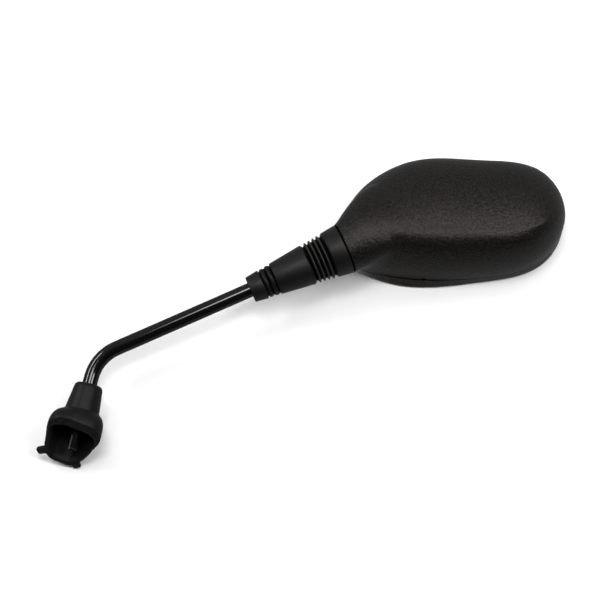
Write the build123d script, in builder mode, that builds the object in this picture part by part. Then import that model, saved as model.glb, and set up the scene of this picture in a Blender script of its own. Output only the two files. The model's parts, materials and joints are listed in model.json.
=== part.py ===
from build123d import *

import os
from math import cos, hypot, radians, sin, sqrt, tan

# Left-hand motorcycle mirror. The origin is the seat under the lock nut, Z runs up the stud,
# X points outboard, the stem bends in the XZ plane and the glass faces +Y.

# Stud, nut and stem
stud_diameter = 8.0
stud_reach = 19.5
stud_chamfer = 1.0
thread_pitch_diameter = 7.19
nut_height = 6.5
nut_across_flats = 13.0
nut_crown_angle = 30.0
nut_thread_gap = 0.02
thread_above_nut = 3.5
stem_diameter = 10.0
bend_height = 45.0
bend_angle = 53.6
bend_radius = 28.0
ball_reach = 181.0

# Ball joint, with stations measured along the neck axis from the centre of the ball
ball_diameter = 18.0
ball_spigot_diameter = 7.0
ball_spigot_depth = 11.0
joint_gap = 0.1
liner_wall = 1.5
liner_top = -0.5
liner_bottom = -6.0
cup_start = 2.6
cup_height = 9.4
cup_gap = 0.2
cup_bore_diameter = 9.0
disc_thickness = 1.2
disc_cone = 0.8
disc_gap = 0.05
disc_bore_diameter = 9.6
ring_thickness = 1.2
ring_depth = 1.0
ring_width = 2.6
ring_opening_angle = 40.0
ring_lug_diameter = 4.4
ring_hole_diameter = 1.8
ring_play = 0.1

# Neck and head
seam_station = 1.8
neck_diameter = 34.4
spigot_diameter = 26.0
spigot_reach = 9.0
socket_lip_station = -6.4
socket_flare = 1.2
boss_diameter = 28.4
boss_station = 20.0
head_roll = 12.85
head_turn = 3.9
rim_drop = 30.0
head_length = 157.0
head_height = 88.0
head_start = 1.5
head_low = -14.8
crown_height = 48.0
crown_length_share = 0.60
crown_height_share = 0.06
crown_shift = (3.0, -18.0)
neck_blend = 18.0
shell_wall = 2.2
parting_step = 0.4
bezel_height = 8.0
bezel_lip = 3.0
bezel_edge_radius = 1.4
tongue_height = 3.0
tongue_thickness = 1.4
tongue_gap = 0.15
drain_width = 4.0
drain_height = 2.2
drain_place = 58.0

# Glass, pad and the posts behind them
glass_curvature = 1200.0
glass_front = 1.6
glass_thickness = 2.5
glass_gap = 0.3
glass_seat_gap = 0.05
pad_thickness = 3.0
pad_margin = 3.0
post_diameter = 6.0
post_gap = 0.2
post_spacing = (72.0, 34.0)

# Gaiter, a cone from the stem to the seam with two ridges and a bellows
gaiter_small_diameter = 18.2
gaiter_large_diameter = 35.0
gaiter_length = 69.8
gaiter_grip = 9.5
gaiter_gap = 0.3
gaiter_wall = 3.2
gaiter_seam_gap = 0.1
gaiter_edge_radius = 0.8
ridge_count = 2
ridge_width = 3.1
ridge_groove = 0.9
ridge_depth = 1.2
bellows_start = 43.0
fin_count = 4
fin_tip = 0.6
fin_depth = 2.0
groove_floor = 0.7
collar_length = 11.1
collar_lead = 0.5

# Boot, a rubber hood with an oblique mouth
boot_top = 25.6
boot_neck_top_diameter = 18.6
boot_neck_base_diameter = 23.4
boot_shoulder_diameter = 24.6
boot_step = 6.5
boot_top_radius = 3.2
boot_gap = 0.3
boot_flare = 0.5
boot_flare_depth = 6.0
boot_half_width = 20.6
boot_half_depth = 17.5
boot_back_share = 0.58
boot_shift = (-2.9, 0.4)
boot_shoulder_depth = 12.5
boot_hem = -36.0
boot_wall = 2.6
boot_front_wall = 5.6
boot_roof = 3.8
boot_turn = 26.5
boot_squareness = 3.6
nut_pocket_height = 6.0
nut_pocket_gap = 1.3
mouth_level = -16.0
mouth_pitch = 36.4
mouth_roll = 7.4
lip_inset = 0.9
lip_groove = 0.9
lip_depth = 1.2
tab_width = 5.5
tab_length = 6.0
tab_thickness = 3.0
tab_radius = 18.8
tab_angle = 48.0
tab_corner = 1.2
dimple_diameter = 1.8
dimple_depth = 1.5
dimple_spacing = 21.0
dimple_inset = 4.4

# Sizes worked out from the ones above and shared by several pieces
stud_radius = stud_diameter / 2
thread_radius = thread_pitch_diameter / 2
stem_radius = stem_diameter / 2
ball_radius = ball_diameter / 2
shoulder_height = nut_height + thread_above_nut
nut_corner_radius = nut_across_flats / sqrt(3)
ball_facet = sqrt(ball_radius**2 - stem_radius**2)
liner_inner = ball_radius + joint_gap
liner_outer = liner_inner + liner_wall
socket_radius = liner_outer + joint_gap
spigot_radius = spigot_diameter / 2
cup_top = cup_start + cup_height
disc_radius = socket_radius - cup_gap
disc_bore = disc_bore_diameter / 2
disc_height = disc_thickness + disc_cone + disc_gap
ring_station = cup_top + 2 * disc_height
ring_radius = socket_radius + ring_depth
pocket_inset = shell_wall + tongue_gap + tongue_thickness
pad_back = glass_front + glass_thickness + pad_thickness
gaiter_end = seam_station - gaiter_seam_gap
gaiter_start = seam_station - gaiter_length

# Neck axis, from the corner of the bend to the centre of the ball
neck_direction = Vector(sin(radians(bend_angle)), 0, cos(radians(bend_angle)))
ball_center = Vector(0, 0, bend_height) + neck_direction * ball_reach
neck_axis = Axis(ball_center, neck_direction)
neck_radial = Vector(neck_direction.Z, 0, -neck_direction.X)
neck_profile = Plane(origin=ball_center, x_dir=neck_radial, z_dir=(0, -1, 0))

# Head plane: X along the head, Y across it, Z out of its back, with the rim at height 0
head_normal = Vector(sin(radians(head_turn)), -cos(radians(head_turn)), 0)
head_level = Vector(cos(radians(head_turn)), sin(radians(head_turn)), 0)
head_long = head_level * cos(radians(head_roll)) + Vector(0, 0, sin(radians(head_roll)))
head_plane = Plane(
    origin=ball_center - head_normal * rim_drop, x_dir=head_long, z_dir=head_normal
)
head_center = (head_start + head_length / 2, head_low + head_height / 2)
glass_center = head_plane.from_local_coords((*head_center, 0))
glass_axis = Axis(glass_center, head_normal)
glass_profile = Plane(origin=glass_center, x_dir=head_plane.x_dir, z_dir=head_plane.y_dir * -1)

# Turning points of the head's outline, as shares of its half length and half height
outline_shares = [
    (-0.84, -0.845),
    (-0.40, -0.985),
    (0.255, -0.97),
    (0.785, -0.68),
    (0.994, 0.02),
    (0.816, 0.755),
    (0.255, 0.975),
    (-0.34, 0.97),
    (-0.768, 0.585),
    (-0.994, -0.10),
]

# The same points on the rim, which flares out most at its lower inboard corner
rim_shares = [
    (-0.80, -0.87),
    (-0.48, -1.085),
    (0.255, -1.01),
    (0.80, -0.72),
    (1.012, 0.0),
    (0.826, 0.77),
    (0.258, 0.99),
    (-0.345, 0.985),
    (-0.78, 0.60),
    (-1.012, -0.10),
]

# Oval sections of the neck: station, shift across the head, half width, half height and roll
neck_sections = [
    (seam_station, 0.0, neck_diameter / 2, neck_diameter / 2, 0),
    (13.0, 3.4, 21.2, neck_diameter / 2 - 0.1, -8),
    (25.0, 7.0, 25.0, neck_diameter / 2 - 1.2, -14),
    (42.0, 9.0, 27.0, neck_diameter / 2 - 4.8, -16),
    (58.0, 8.0, 22.0, neck_diameter / 2 - 10.2, -16),
]

# Angles of the sections on the quarter ellipse of the domed back
dome_angles = (0, 15, 30, 45, 60, 75, 90)


def outline_points(inset, arch, shares):
    """Outline of the head, moved in by an inset and drawn to the crown by an arch angle."""
    draw = 1 - cos(radians(arch))
    half_length = (head_length / 2 - inset) * (1 - draw * (1 - crown_length_share))
    half_height = (head_height / 2 - inset) * (1 - draw * (1 - crown_height_share))
    middle = [head_center[axis] + draw * crown_shift[axis] for axis in (0, 1)]
    return [(middle[0] + x * half_length, middle[1] + y * half_height) for x, y in shares]


def outline_face(height, inset=0.0, arch=0.0, shares=outline_shares):
    """Flat face of the head's outline at a height over the rim."""
    with BuildSketch(head_plane.offset(height)) as section:
        with BuildLine():
            Spline(*outline_points(inset, arch, shares), periodic=True)
        make_face()
    return section.sketch


def dome_faces(inset):
    """Sections of the domed back, from the parting line to the crown."""
    rise = crown_height - bezel_height - inset
    return [
        outline_face(bezel_height + rise * sin(radians(arch)), inset, arch=arch)
        for arch in dome_angles
    ]


def neck_face(station, shift, half_width, half_height, roll):
    """Oval section of the neck, square to its axis."""
    across = head_normal.cross(neck_direction)
    center = ball_center + neck_direction * station + across * shift
    with BuildSketch(Plane(origin=center, x_dir=across, z_dir=neck_direction)) as section:
        Ellipse(half_width, half_height, rotation=roll)
    return section.sketch


def sag(distance):
    """Depth of the glass curve at a distance from its centre."""
    return glass_curvature - sqrt(glass_curvature**2 - distance**2)


def glass_arc_points(level, reach):
    """Three points on the glass curve, at a level over the rim."""
    return [(x, level + sag(x)) for x in (0, reach / 2, reach)]


def curved_blank(front, back):
    """Round disc with the glass curve on its front and on its back."""
    reach = (head_length + head_height) / 3
    with BuildPart() as blank:
        with BuildSketch(glass_profile):
            with BuildLine():
                near = ThreePointArc(*glass_arc_points(front, reach))
                far = ThreePointArc(*glass_arc_points(back, reach))
                Line(near @ 0, far @ 0)
                Line(near @ 1, far @ 1)
            make_face()
        revolve(axis=glass_axis)
    return blank.part


def sphere_radius_at(radius, station):
    """Radius of a sphere's circle at a station along the neck axis."""
    return sqrt(radius**2 - station**2)


def sphere_arc_points(radius, start, end):
    """Three points on a sphere's profile between two stations."""
    return [(sphere_radius_at(radius, s), s) for s in (start, (start + end) / 2, end)]


def envelope(station):
    """Outer radius of the gaiter's cone at a station."""
    share = (station - gaiter_start) / gaiter_length
    return gaiter_small_diameter / 2 + share * (gaiter_large_diameter - gaiter_small_diameter) / 2


def bellows_points(start, end):
    """Zigzag of fins and grooves on the gaiter's cone, between two stations."""
    pitch = (end - start) / (fin_count + 1)
    points = []
    for groove in range(fin_count + 1):
        low = start + groove * pitch + (fin_tip / 2 if groove else 0)
        high = start + (groove + 1) * pitch - (fin_tip / 2 if groove < fin_count else 0)
        middle = (low + high) / 2
        floor = envelope(middle) - fin_depth
        points += [
            (envelope(low), low),
            (floor, middle - groove_floor / 2),
            (floor, middle + groove_floor / 2),
            (envelope(high), high),
        ]
    return points


def boot_section(level, growth, wall=0.0, front_wall=0.0):
    """Section of the boot's bell, which grows from a circle to a wedge that narrows to the back."""
    start = boot_shoulder_diameter / 2
    half_width = start + growth * (boot_half_width - start)
    half_depth = start + growth * (boot_half_depth - start) - (wall + front_wall) / 2
    squareness = 2 + growth * (boot_squareness - 2)
    narrowing = growth * (1 - boot_back_share) / 2
    points = []
    for angle in range(0, 360, 30):
        x, y = cos(radians(angle)), sin(radians(angle))
        reach = (abs(x) ** squareness + abs(y) ** squareness) ** (-1 / squareness)
        width = half_width * (1 - narrowing * (1 + reach * y)) - wall
        points.append(
            (
                growth * boot_shift[0] + width * reach * x,
                growth * boot_shift[1] + (front_wall - wall) / 2 + half_depth * reach * y,
            )
        )
    with BuildSketch(Plane.XY.offset(level).rotated((0, 0, boot_turn))) as section:
        with BuildLine():
            Spline(*points, periodic=True)
        make_face()
    return section.sketch


def boot_faces(roof=0.0, wall=0.0, front_wall=0.0):
    """Sections of the boot's bell, down its shoulder and then straight down to its hem."""
    waist = boot_step - boot_shoulder_depth
    levels = [
        (boot_step, 0.0),
        (boot_step - 0.15 * boot_shoulder_depth, 0.4),
        (boot_step - 0.45 * boot_shoulder_depth, 0.8),
        (waist, 1.0),
        (waist + (boot_hem - waist) / 3, 1.0),
        (waist + 2 * (boot_hem - waist) / 3, 1.0),
        (boot_hem, 1.0),
    ]
    return [boot_section(level - roof, growth, wall, front_wall) for level, growth in levels]


os.makedirs("parts", exist_ok=True)

# Stem: stud, thread at its pitch diameter under the nut, bent rod and the ball's spigot
with BuildPart() as stem:
    with BuildLine():
        stem_path = FilletPolyline(
            (0, 0, shoulder_height),
            (0, 0, bend_height),
            ball_center - neck_direction * ball_facet,
            radius=bend_radius,
        )
    with BuildSketch(Plane.XY.offset(shoulder_height)):
        Circle(stem_radius)
    sweep(path=stem_path)
    with BuildSketch():
        Circle(thread_radius)
    extrude(amount=shoulder_height)
    with BuildSketch(Plane.XY.offset(-stud_reach)):
        Circle(stud_radius)
    extrude(amount=stud_reach)
    chamfer(stem.edges().group_by(Axis.Z)[0], stud_chamfer)
    with BuildSketch(Plane(origin=stem_path @ 1, z_dir=neck_direction)):
        Circle(ball_spigot_diameter / 2)
    extrude(amount=ball_spigot_depth)
stem.part.label = "stem"
export_step(stem.part, "parts/stem.step")

# Lock nut: hexagon with both crowns turned down
with BuildPart() as lock_nut:
    with BuildSketch():
        RegularPolygon(nut_across_flats / 2, 6, major_radius=False)
        Circle(thread_radius + nut_thread_gap, mode=Mode.SUBTRACT)
    extrude(amount=nut_height)
    crown = (nut_corner_radius - nut_across_flats / 2) * tan(radians(nut_crown_angle))
    with BuildSketch(Plane.XZ):
        with BuildLine():
            Polyline(
                (0, 0),
                (nut_across_flats / 2, 0),
                (nut_corner_radius, crown),
                (nut_corner_radius, nut_height - crown),
                (nut_across_flats / 2, nut_height),
                (0, nut_height),
                close=True,
            )
        make_face()
    revolve(axis=Axis.Z, mode=Mode.INTERSECT)
lock_nut.part.label = "lock_nut"
export_step(lock_nut.part, "parts/lock_nut.step")

# Ball: flat where the stem's shoulder seats, with a blind bore for its spigot
with BuildPart() as pivot_ball:
    with BuildSketch(neck_profile):
        with BuildLine():
            Polyline(
                (stem_radius, -ball_facet),
                (ball_spigot_diameter / 2, -ball_facet),
                (ball_spigot_diameter / 2, ball_spigot_depth - ball_facet),
                (0, ball_spigot_depth - ball_facet),
                (0, ball_radius),
            )
            ThreePointArc((0, ball_radius), (ball_radius, 0), (stem_radius, -ball_facet))
        make_face()
    revolve(axis=neck_axis)
pivot_ball.part.label = "pivot_ball"
export_step(pivot_ball.part, "parts/pivot_ball.step")

# Ball seat: thin spherical liner around the lower half of the ball
with BuildPart() as ball_seat:
    with BuildSketch(neck_profile):
        with BuildLine():
            inner = ThreePointArc(*sphere_arc_points(liner_inner, liner_bottom, liner_top))
            outer = ThreePointArc(*sphere_arc_points(liner_outer, liner_bottom, liner_top))
            Line(inner @ 0, outer @ 0)
            Line(inner @ 1, outer @ 1)
        make_face()
    revolve(axis=neck_axis)
ball_seat.part.label = "ball_seat"
export_step(ball_seat.part, "parts/ball_seat.step")

# Clamp cup: pressed on the ball by the disc springs
with BuildPart() as clamp_cup:
    cup_bore = cup_bore_diameter / 2
    cup_ledge = sphere_radius_at(liner_inner, cup_bore)
    with BuildSketch(neck_profile):
        with BuildLine():
            hollow = ThreePointArc(*sphere_arc_points(liner_inner, cup_start, cup_ledge))
            Polyline(
                hollow @ 1,
                (cup_bore, cup_top),
                (socket_radius - cup_gap, cup_top),
                (socket_radius - cup_gap, cup_start),
                hollow @ 0,
            )
        make_face()
    revolve(axis=neck_axis)
clamp_cup.part.label = "clamp_cup"
export_step(clamp_cup.part, "parts/clamp_cup.step")

# Disc springs: two shallow cones, face to face
with BuildPart() as disc_springs:
    for base, cone in ((cup_top, disc_cone), (cup_top + 2 * disc_height, -disc_cone)):
        side = 1 if cone > 0 else -1
        with BuildSketch(neck_profile):
            with BuildLine():
                Polyline(
                    (disc_radius, base),
                    (disc_radius, base + side * disc_thickness),
                    (disc_bore, base + cone + side * disc_thickness),
                    (disc_bore, base + cone),
                    close=True,
                )
            make_face()
        revolve(axis=neck_axis)
disc_springs.part.label = "disc_springs"
export_step(disc_springs.part, "parts/disc_springs.step")

# Retaining ring: internal circlip with two eyes
with BuildPart() as retaining_ring:
    ring_plane = Plane(
        origin=ball_center + neck_direction * ring_station, x_dir=neck_radial, z_dir=neck_direction
    )
    ring_inner = ring_radius - ring_width
    eye_radius = ring_inner - ring_lug_diameter / 4
    opening = radians(ring_opening_angle / 2)
    with BuildSketch(ring_plane):
        Circle(ring_radius)
        Circle(ring_inner, mode=Mode.SUBTRACT)
        with BuildLine():
            Polyline(
                (0, 0),
                (2 * ring_radius * cos(opening), 2 * ring_radius * sin(opening)),
                (2 * ring_radius * cos(opening), -2 * ring_radius * sin(opening)),
                close=True,
            )
        make_face(mode=Mode.SUBTRACT)
        for side in (1, -1):
            with Locations((eye_radius * cos(opening), side * eye_radius * sin(opening))):
                Circle(ring_lug_diameter / 2)
                Circle(ring_hole_diameter / 2, mode=Mode.SUBTRACT)
    extrude(amount=ring_thickness)
retaining_ring.part.label = "retaining_ring"
export_step(retaining_ring.part, "parts/retaining_ring.step")

# Domed back without its neck, used to trim the posts
with BuildPart() as dome:
    loft(sections=dome_faces(0))

# Posts that carry the pad, from just behind it up into the back
with BuildPart() as posts:
    post_end = pad_back + post_gap + sag(hypot(*post_spacing) / 2)
    with BuildSketch(head_plane.offset(post_end)):
        with Locations(head_center):
            with GridLocations(*post_spacing, 2, 2):
                Circle(post_diameter / 2)
    extrude(amount=crown_height)
    add(dome.part, mode=Mode.INTERSECT)

# Back shell: domed back, neck, spigot for the gaiter and the socket of the ball joint
with BuildPart() as neck:
    loft(sections=[neck_face(*section) for section in neck_sections])

with BuildPart() as back_shell:
    add(dome.part)
    add(neck.part)
    fillet(new_edges(dome.part, neck.part, combined=back_shell.part), radius=neck_blend)
    loft(sections=dome_faces(shell_wall), mode=Mode.SUBTRACT)
    add(posts.part)
    with BuildSketch(neck_profile):
        with BuildLine():
            Polyline(
                (0, -spigot_reach),
                (spigot_radius, -spigot_reach),
                (spigot_radius, seam_station),
                (boss_diameter / 2, seam_station),
                (boss_diameter / 2, boss_station),
                (0, boss_station),
                close=True,
            )
        make_face()
    revolve(axis=neck_axis)
    with BuildSketch(neck_profile):
        with BuildLine():
            seat_arc = ThreePointArc(*sphere_arc_points(socket_radius, socket_lip_station, 0))
            Polyline(
                seat_arc @ 1,
                (socket_radius, ring_station - ring_play),
                (ring_radius + ring_play, ring_station - ring_play),
                (ring_radius + ring_play, ring_station + ring_thickness + ring_play),
                (socket_radius, ring_station + ring_thickness + ring_play),
                (socket_radius, boss_station),
                (0, boss_station),
                (0, -spigot_reach),
                ((seat_arc @ 0).X + socket_flare, -spigot_reach),
                seat_arc @ 0,
            )
        make_face()
    revolve(axis=neck_axis, mode=Mode.SUBTRACT)
    with BuildSketch(head_plane.offset(bezel_height)):
        with Locations((drain_place, head_low)):
            Rectangle(drain_width, 6 * shell_wall)
    extrude(amount=drain_height, mode=Mode.SUBTRACT)
back_shell.part.label = "back_shell"
export_step(back_shell.part, "parts/back_shell.step")

# Room for the glass inside the bezel, curved like the glass at its front
with BuildPart() as glass_pocket:
    extrude(outline_face(0, pocket_inset), amount=bezel_height + tongue_height)
    add(curved_blank(glass_front - glass_seat_gap, crown_height), mode=Mode.INTERSECT)

# Bezel: flared rim with a tongue that centres the shell
with BuildPart() as bezel:
    loft(sections=[outline_face(0, shares=rim_shares), outline_face(bezel_height, parting_step)])
    rim_face = bezel.faces().sort_by(Axis(head_plane.origin, head_normal))[0]
    fillet(rim_face.edges(), bezel_edge_radius)
    extrude(outline_face(bezel_height, shell_wall + tongue_gap), amount=tongue_height)
    add(glass_pocket.part, mode=Mode.SUBTRACT)
    extrude(outline_face(0, pocket_inset + bezel_lip), amount=bezel_height, mode=Mode.SUBTRACT)
bezel.part.label = "bezel"
export_step(bezel.part, "parts/bezel.step")

# Mirror glass: convex, cut to the outline
with BuildPart() as mirror_glass:
    extrude(outline_face(0, pocket_inset + glass_gap), amount=crown_height)
    add(curved_blank(glass_front, glass_front + glass_thickness), mode=Mode.INTERSECT)
mirror_glass.part.label = "mirror_glass"
export_step(mirror_glass.part, "parts/mirror_glass.step")

# Glass pad: foam sheet behind the glass
with BuildPart() as glass_pad:
    extrude(outline_face(0, pocket_inset + pad_margin), amount=crown_height)
    add(curved_blank(glass_front + glass_thickness, pad_back), mode=Mode.INTERSECT)
glass_pad.part.label = "glass_pad"
export_step(glass_pad.part, "parts/glass_pad.step")

# Gaiter: grip on the stem, ridges, cone, bellows and collar over the neck's spigot
with BuildPart() as gaiter:
    grip_end = gaiter_start + gaiter_grip
    ridges_end = grip_end + ridge_count * (ridge_width + ridge_groove) + ridge_groove
    bellows_station = gaiter_start + bellows_start
    collar_station = seam_station - collar_length
    bore = stem_radius + gaiter_gap
    with BuildSketch(neck_profile):
        with BuildLine():
            Polyline((bore, gaiter_start), (envelope(gaiter_start), gaiter_start))
            Line((envelope(gaiter_start), gaiter_start), (envelope(grip_end), grip_end))
            edge = Vector(envelope(grip_end), grip_end)
            for ridge in range(ridge_count):
                foot = grip_end + ridge_groove + ridge * (ridge_width + ridge_groove)
                middle, head = foot + ridge_width / 2, foot + ridge_width
                Polyline(
                    edge,
                    (envelope(foot) - ridge_depth, foot - 0.5 * ridge_groove),
                    (envelope(foot) - ridge_depth, foot),
                )
                bead = ThreePointArc(
                    (envelope(foot) - ridge_depth, foot),
                    (envelope(middle), middle),
                    (envelope(head) - ridge_depth, head),
                )
                edge = bead @ 1
            Polyline(
                edge,
                (envelope(ridges_end) - ridge_depth, ridges_end - 0.5 * ridge_groove),
                (envelope(ridges_end), ridges_end),
                *bellows_points(bellows_station, collar_station),
                (envelope(gaiter_end), gaiter_end),
                (spigot_radius + gaiter_gap, gaiter_end),
                (spigot_radius + gaiter_gap, -spigot_reach - collar_lead),
                (envelope(collar_station) - gaiter_wall, -spigot_reach - collar_lead),
                (envelope(ridges_end) - gaiter_wall, ridges_end),
                (bore, grip_end),
                (bore, gaiter_start),
            )
        gaiter_half = make_face()
        small_end = gaiter_half.vertices().group_by(Axis.Y)[0]
        fillet(small_end.sort_by(Axis.X)[-1], gaiter_edge_radius)
    revolve(axis=neck_axis)
gaiter.part.label = "gaiter"
export_step(gaiter.part, "parts/gaiter.step")

# Boot: neck and bell with an oblique mouth, two tabs and two dimples on its rim
mouth_normal = Vector(tan(radians(mouth_roll)), tan(radians(mouth_pitch)), 1).rotate(Axis.Z, boot_turn)
mouth_side = Vector(1, 0, -tan(radians(mouth_roll))).rotate(Axis.Z, boot_turn)
mouth_center = Vector(*boot_shift, mouth_level).rotate(Axis.Z, boot_turn)
mouth_plane = Plane(origin=mouth_center, x_dir=mouth_side, z_dir=mouth_normal)
mouth_stretch = 1 / cos(radians(mouth_pitch))

# Ring that is cut into the mouth's rim, so that a lip stands round it
with BuildPart() as lip_ring:
    loft(sections=boot_faces(0, lip_inset, lip_inset))
    groove_inset = lip_inset + lip_groove
    loft(sections=boot_faces(0, groove_inset, groove_inset), mode=Mode.SUBTRACT)
    split(bisect_by=mouth_plane, keep=Keep.TOP)
    split(bisect_by=mouth_plane.offset(lip_depth), keep=Keep.BOTTOM)

with BuildPart() as boot:
    with BuildSketch(Plane.XZ):
        with BuildLine():
            Polyline(
                (0, 0),
                (boot_neck_base_diameter / 2, 0),
                (boot_neck_base_diameter / 2, boot_step),
                (boot_neck_top_diameter / 2, boot_top),
                (0, boot_top),
                close=True,
            )
        neck_half = make_face()
        fillet(neck_half.vertices().group_by(Axis.Y)[-1].sort_by(Axis.X)[-1], boot_top_radius)
    revolve(axis=Axis.Z)
    loft(sections=boot_faces())
    split(bisect_by=mouth_plane, keep=Keep.TOP)
    with BuildSketch(mouth_plane):
        for angle in (tab_angle, 180 - tab_angle):
            x, y = tab_radius * cos(radians(angle)), tab_radius * sin(radians(angle))
            with Locations(Location((x, y * mouth_stretch, 0), (0, 0, angle))):
                RectangleRounded(tab_length, tab_width, tab_corner)
    extrude(amount=tab_thickness)
    loft(sections=boot_faces(boot_roof, boot_wall, boot_front_wall), mode=Mode.SUBTRACT)
    with BuildSketch(Plane.XZ):
        with BuildLine():
            bore = stem_radius + boot_gap
            pocket = nut_corner_radius + nut_pocket_gap
            pocket_top = nut_height + nut_pocket_height
            Polyline(
                (0, -boot_roof),
                (pocket, -boot_roof),
                (pocket, pocket_top),
                (bore, pocket_top + pocket - bore),
                (bore, boot_top - boot_flare_depth),
                (bore + boot_flare, boot_top),
                (0, boot_top),
                close=True,
            )
        make_face()
    revolve(axis=Axis.Z, mode=Mode.SUBTRACT)
    add(lip_ring.part, mode=Mode.SUBTRACT)
    with BuildSketch(mouth_plane):
        with Locations((0, (dimple_inset - boot_half_depth) * mouth_stretch)):
            with GridLocations(dimple_spacing, 0, 2, 1):
                Circle(dimple_diameter / 2)
    extrude(amount=dimple_depth, mode=Mode.SUBTRACT)
boot.part.label = "boot"
export_step(boot.part, "parts/boot.step")
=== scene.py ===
import json
import logging
import math
from dataclasses import dataclass
from enum import Enum
from typing import Any, Iterable, Optional

import bpy
from mathutils import Matrix, Vector

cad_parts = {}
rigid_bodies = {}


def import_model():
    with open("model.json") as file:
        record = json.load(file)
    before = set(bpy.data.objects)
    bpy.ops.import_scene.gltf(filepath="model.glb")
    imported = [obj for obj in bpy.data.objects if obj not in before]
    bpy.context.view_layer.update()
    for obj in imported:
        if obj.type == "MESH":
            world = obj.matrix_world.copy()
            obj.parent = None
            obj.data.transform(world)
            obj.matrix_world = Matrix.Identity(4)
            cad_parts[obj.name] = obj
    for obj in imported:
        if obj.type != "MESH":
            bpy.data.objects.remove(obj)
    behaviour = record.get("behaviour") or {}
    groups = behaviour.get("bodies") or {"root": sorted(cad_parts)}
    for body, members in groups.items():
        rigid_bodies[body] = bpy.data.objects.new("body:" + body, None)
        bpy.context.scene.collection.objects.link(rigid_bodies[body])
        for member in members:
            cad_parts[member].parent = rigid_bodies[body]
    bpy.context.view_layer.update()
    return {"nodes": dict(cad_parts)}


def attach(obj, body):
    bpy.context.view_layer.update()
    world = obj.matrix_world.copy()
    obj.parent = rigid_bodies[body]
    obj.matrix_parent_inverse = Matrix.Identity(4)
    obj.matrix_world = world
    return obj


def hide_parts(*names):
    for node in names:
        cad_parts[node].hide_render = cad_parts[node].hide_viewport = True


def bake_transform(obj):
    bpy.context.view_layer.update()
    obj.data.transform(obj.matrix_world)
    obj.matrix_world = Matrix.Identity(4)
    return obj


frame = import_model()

LOG = logging.getLogger("mirror")

Profile = list[tuple[float, float]]
Pair = tuple[float, float]
Triple = tuple[float, float, float]

# Corners nearer than this are one corner, in metres
WELD = 1e-6
# Mesh attribute that is one in a groove and inside, where it paints shade, nought on a plain skin
# and CREST on a crest, where it paints a highlight
GROOVE = "groove"
CREST = -1.0
# Whole range of a value, and the ranges that hold most values of a noise
WHOLE = (0.0, 1.0)
NOISE_REACH = (0.3, 0.7)
NOISE_MIDDLE = (0.35, 0.65)
# Turn away from the eye over which a grained surface loses its gloss
GLANCE_REACH = (0.15, 0.65)
# Radians that the wave texture turns per metre at a scale of one
WAVE_RATE = 20.0


class Body(Enum):
    """Bodies that the pieces move with."""

    STEM = "stem_set"
    BOOT = "boot_cover"
    SLEEVE = "gaiter_sleeve"
    LINER = "seat_liner"
    HEAD = "head"


class Slot(Enum):
    """Finish slots of the pieces that are modelled here."""

    STEM = "stem"
    GAITER = "gaiter"
    BOOT = "boot"


def mm(value: float) -> float:
    """Millimetres as metres."""
    return value / 1000.0


def per_mm(size: float) -> float:
    """Texture scale that repeats a pattern every so many millimetres."""
    return 1000.0 / size


def linear(code: str) -> tuple[float, float, float, float]:
    """Linear colour of an sRGB hex value.

    Args:
        code: six hex digits after a hash sign.

    Returns:
        Red, green, blue and an alpha of one.
    """
    parts = [int(code[at : at + 2], 16) / 255.0 for at in (1, 3, 5)]
    red, green, blue = (
        part / 12.92 if part <= 0.04045 else ((part + 0.055) / 1.055) ** 2.4 for part in parts
    )
    return red, green, blue, 1.0


def add_node(
    tree: bpy.types.NodeTree, kind: str, inputs: Optional[dict[Any, Any]] = None, **settings: Any
) -> bpy.types.Node:
    """Add a shader node with its settings and links.

    Args:
        tree: node tree that gets the node.
        kind: identifier of the node type.
        inputs: value, or output socket to link, for each socket by name or number.
        **settings: properties of the node itself.

    Returns:
        The new node.
    """
    node = tree.nodes.new(kind)
    for name, value in settings.items():
        setattr(node, name, value)
    for name, value in (inputs or {}).items():
        if isinstance(value, bpy.types.NodeSocket):
            tree.links.new(value, node.inputs[name])
        else:
            node.inputs[name].default_value = value
    return node


def remap(
    tree: bpy.types.NodeTree,
    value: bpy.types.NodeSocket,
    source: Pair,
    target: tuple[Any, Any],
    **settings: Any,
) -> bpy.types.NodeSocket:
    """Add a clamped map from one range to another.

    Args:
        tree: node tree that gets the node.
        value: socket with the value.
        source: ends of the value's range.
        target: number or socket that each end becomes.
        **settings: properties of the node itself.

    Returns:
        Socket with the mapped value.
    """
    ends = dict(zip(("From Min", "From Max", "To Min", "To Max"), (*source, *target)))
    node = add_node(tree, "ShaderNodeMapRange", {"Value": value, **ends}, **settings)
    return node.outputs["Result"]


def noise(
    tree: bpy.types.NodeTree,
    place: bpy.types.NodeSocket,
    size: float,
    detail: float,
    roughness: float,
) -> bpy.types.NodeSocket:
    """Add a noise.

    Args:
        tree: node tree that gets the node.
        place: socket with the coordinates.
        size: width of its blots, in millimetres.
        detail: octaves of finer noise in it.
        roughness: strength of the finer noise.

    Returns:
        Socket with the noise.
    """
    inputs = {"Vector": place, "Scale": per_mm(size), "Detail": detail, "Roughness": roughness}
    return add_node(tree, "ShaderNodeTexNoise", inputs).outputs["Fac"]


def mix(
    tree: bpy.types.NodeTree, share: bpy.types.NodeSocket, first: Any, second: Any
) -> bpy.types.NodeSocket:
    """Add a mix of two colours, which a mix node keeps in its sockets 6, 7 and 2.

    Args:
        tree: node tree that gets the node.
        share: socket with the share of the second colour.
        first: colour or socket.
        second: colour or socket.

    Returns:
        Socket with the mixed colour.
    """
    inputs = {0: share, 6: first, 7: second}
    return add_node(tree, "ShaderNodeMix", inputs, data_type="RGBA").outputs[2]


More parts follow.
